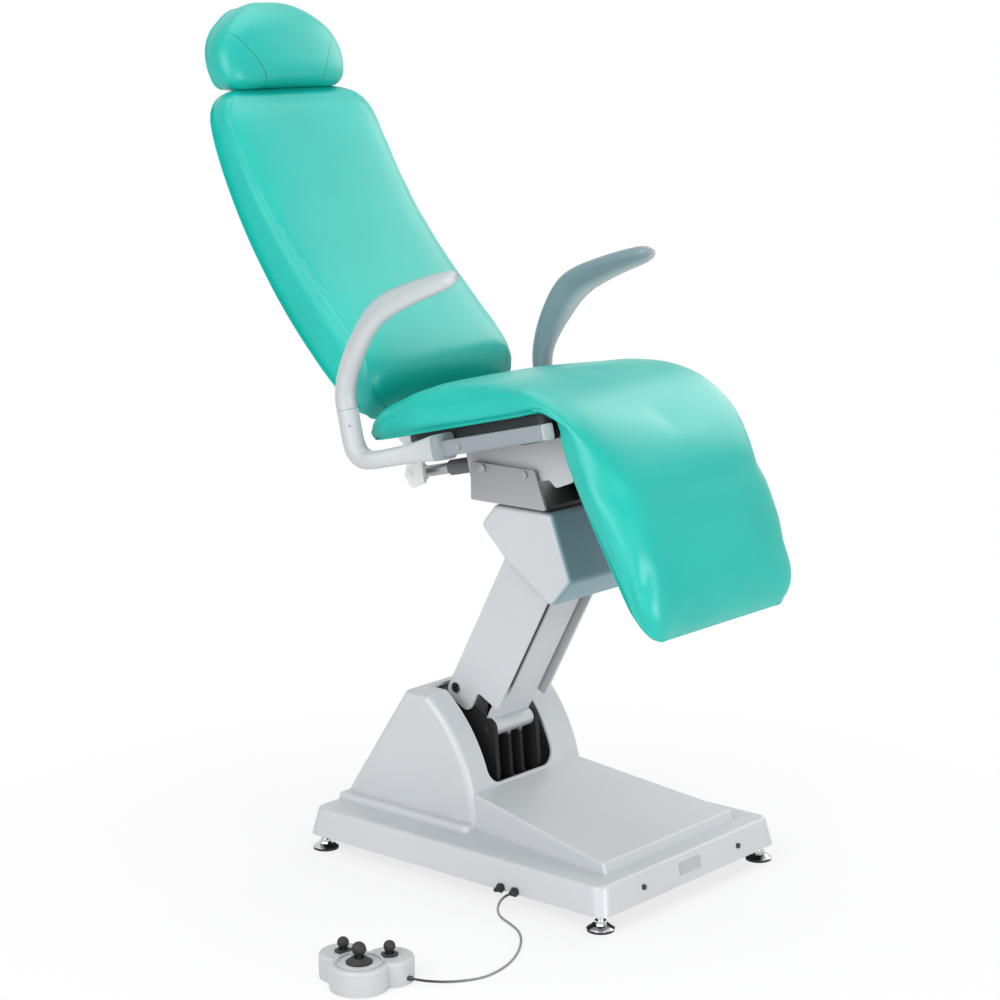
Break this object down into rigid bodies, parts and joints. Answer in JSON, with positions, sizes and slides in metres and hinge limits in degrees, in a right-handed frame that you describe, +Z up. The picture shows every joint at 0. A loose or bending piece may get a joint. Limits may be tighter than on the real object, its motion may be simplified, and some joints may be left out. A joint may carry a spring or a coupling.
{
  "type": "treatment chair",
  "caption": "Electrically lifted treatment chair with teal upholstery, swing-away arm rests, reclining back, leg rest and a corded foot control",
  "frame": {"origin": "On the floor, under the middle of the base plinth", "axes": "The chair faces -Y, +X is the sitter's left and +Z is up"},
  "size_m": [1.0329, 1.1554, 1.5787],
  "materials": {
    "base_paint": "satin silver grey",
    "black_steel": "satin black",
    "chrome": "polished",
    "rubber": "matt",
    "steel": "ground",
    "actuator": "matt black",
    "vinyl": "smooth teal upholstery",
    "panel": "dark board",
    "arm_plastic": "pale grey moulded",
    "white_plate": "gloss white",
    "pedal_plastic": "pale grey moulded",
    "clear_ring": "clear",
    "cord": "grey sheath",
    "box_grey": "moulded"
  },
  "bodies": {
    "base": {"base_chassis": "black_steel", "base_cover": "base_paint", "levelling_feet": "chrome", "foot_pads": "rubber", "lift_pins": "steel", "lift_actuator": "actuator", "control_box": "box_grey", "cover_screws": "steel", "front_plate": "steel", "cord_gland": "rubber", "mains_inlet": "rubber", "pedal_base": "pedal_plastic", "pedal_cover": "pedal_plastic", "pedal_ring": "clear_ring", "joystick_gaiters": "rubber", "pedal_cord": "cord", "pedal_boot": "cord"},
    "lift_arm": {"rear_link": "base_paint"},
    "front_link": {"front_link": "base_paint"},
    "lift_rod": {"lift_rod": "steel"},
    "head": {"head_housing": "base_paint", "head_frame": "black_steel", "head_pins": "steel", "head_gasket": "rubber", "tilt_bracket": "base_paint", "tilt_pins": "steel", "bracket_screws": "steel", "tilt_actuator": "actuator"},
    "tilt_rod": {"tilt_rod": "steel"},
    "seat": {"seat_gussets": "base_paint", "cross_tubes": "black_steel", "side_rails": "base_paint", "hinge_ears": "black_steel", "tilt_crank_pin": "steel", "seat_board": "panel", "seat_cushion": "vinyl", "back_hinge_shaft": "steel", "knee_pins": "steel", "back_actuator": "box_grey", "leg_actuator": "actuator", "rail_end_caps": "arm_plastic", "clamp_screws": "steel", "armrest_support_left": "base_paint", "armrest_support_right": "base_paint"},
    "backrest": {"back_frame": "white_plate", "back_panel": "panel", "back_cushion": "vinyl", "headrest_guides": "actuator"},
    "back_rod": {"back_rod": "steel"},
    "headrest": {"headrest_carrier": "chrome", "headrest_cushion": "vinyl"},
    "legrest": {"legrest_frame": "black_steel", "legrest_board": "panel", "legrest_cushion": "vinyl"},
    "leg_rod": {"leg_rod": "steel"},
    "armrest_left": {"armrest_left": "arm_plastic"},
    "armrest_right": {"armrest_right": "arm_plastic"},
    "joystick_left": {"joystick_left": "rubber"},
    "joystick_right": {"joystick_right": "rubber"},
    "joystick_front": {"joystick_front": "rubber"}
  },
  "joints": [
    {"name": "lift", "type": "hinge", "parent": "base", "child": "lift_arm", "pos_m": [0, 0.143, 0.314], "axis": [-1, 0, 0], "range_deg": [-52, 3]},
    {"name": "head_level", "type": "hinge", "parent": "lift_arm", "child": "head", "pos_m": [0, -0.03355, 0.63916], "axis": [-1, 0, 0], "range_deg": [-3.2, 52.2]},
    {"name": "front_link_turn", "type": "hinge", "parent": "base", "child": "front_link", "pos_m": [0, 0.07558, 0.24326], "axis": [-1, 0, 0], "range_deg": [-52.2, 3.2]},
    {"name": "lift_rod_slide", "type": "slide", "parent": "base", "child": "lift_rod", "axis": [0, 0.9903, 0.1392], "range_m": [-0.0075, 0.1147]},
    {"name": "seat_tilt", "type": "hinge", "parent": "head", "child": "seat", "pos_m": [0, 0.027, 0.752], "axis": [-1, 0, 0], "range_deg": [-13, 12]},
    {"name": "tilt_rod_slide", "type": "slide", "parent": "head", "child": "tilt_rod", "axis": [0, -1, 0], "range_m": [-0.0095, 0.009]},
    {"name": "back_recline", "type": "hinge", "parent": "seat", "child": "backrest", "pos_m": [0, 0.20254, 0.76997], "axis": [-1, 0, 0], "range_deg": [-10, 62]},
    {"name": "back_rod_slide", "type": "slide", "parent": "seat", "child": "back_rod", "axis": [0, 0.9744, -0.225], "range_m": [-0.0552, 0.0093]},
    {"name": "headrest_height", "type": "slide", "parent": "backrest", "child": "headrest", "axis": [0, 0.2924, 0.9563], "range_m": [0, 0.08]},
    {"name": "leg_lift", "type": "hinge", "parent": "seat", "child": "legrest", "pos_m": [0, -0.21569, 0.8655], "axis": [-1, 0, 0], "range_deg": [0, 70]},
    {"name": "leg_rod_slide", "type": "slide", "parent": "seat", "child": "leg_rod", "axis": [0, -0.9744, 0.225], "range_m": [-0.0005, 0.0626]},
    {"name": "armrest_left_swing", "type": "hinge", "parent": "seat", "child": "armrest_left", "pos_m": [0.273, 0.21447, 0.86164], "axis": [0, 0.225, 0.9744], "range_deg": [0, 90]},
    {"name": "armrest_right_swing", "type": "hinge", "parent": "seat", "child": "armrest_right", "pos_m": [-0.273, 0.21447, 0.86164], "axis": [0, -0.225, -0.9744], "range_deg": [0, 90]},
    {"name": "joystick_left_tilt", "type": "hinge", "parent": "base", "child": "joystick_left", "pos_m": [-0.666, -0.138, 0.036], "axis": [0.5679, -0.8231, 0], "range_deg": [-12, 12], "stiffness_Nm_per_rad": 0.12},
    {"name": "joystick_right_tilt", "type": "hinge", "parent": "base", "child": "joystick_right", "pos_m": [-0.629, -0.208, 0.036], "axis": [0.5679, -0.8231, 0], "range_deg": [-12, 12], "stiffness_Nm_per_rad": 0.12},
    {"name": "joystick_front_tilt", "type": "hinge", "parent": "base", "child": "joystick_front", "pos_m": [-0.684, -0.192, 0.036], "axis": [0.5679, -0.8231, 0], "range_deg": [-12, 12], "stiffness_Nm_per_rad": 0.12}
  ],
  "couplings": [
    {"joint": "head_level", "follows": "lift", "ratio": -1},
    {"joint": "front_link_turn", "follows": "lift", "ratio": 1},
    {"joint": "lift_rod_slide", "follows": "lift", "m_per_rad": -0.1255},
    {"joint": "tilt_rod_slide", "follows": "seat_tilt", "m_per_rad": 0.04},
    {"joint": "back_rod_slide", "follows": "back_recline", "m_per_rad": -0.0505},
    {"joint": "leg_rod_slide", "follows": "leg_lift", "m_per_rad": 0.0508}
  ]
}
